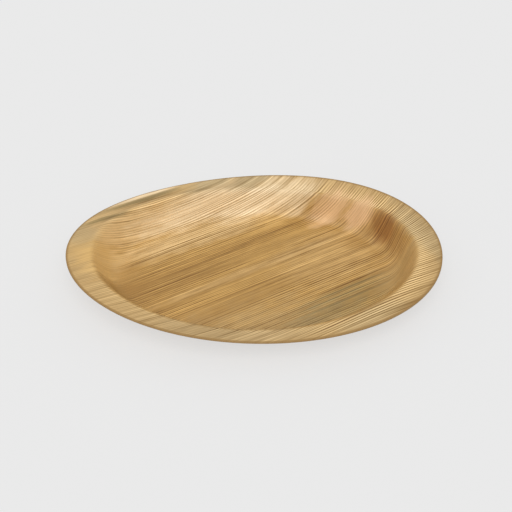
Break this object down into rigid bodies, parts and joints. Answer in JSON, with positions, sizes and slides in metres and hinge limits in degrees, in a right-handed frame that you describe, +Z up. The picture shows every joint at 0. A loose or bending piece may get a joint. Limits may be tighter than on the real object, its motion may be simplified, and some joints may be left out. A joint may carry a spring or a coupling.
{
  "type": "oval palm leaf plate",
  "caption": "Shallow oval disposable plate pressed from one piece of palm leaf sheath, with a flat rim, rounded walls, a flat floor and slanting leaf fibres.",
  "frame": {"origin": "centre of the plate on the table it rests on", "axes": "+X along the long axis, +Y along the short axis, +Z up out of the hollow"},
  "size_m": [0.26, 0.165, 0.026],
  "materials": {
    "leaf": "matte pressed palm leaf with parallel fibres"
  },
  "bodies": {
    "root": {"leaf_plate": "leaf"}
  },
  "joints": []
}
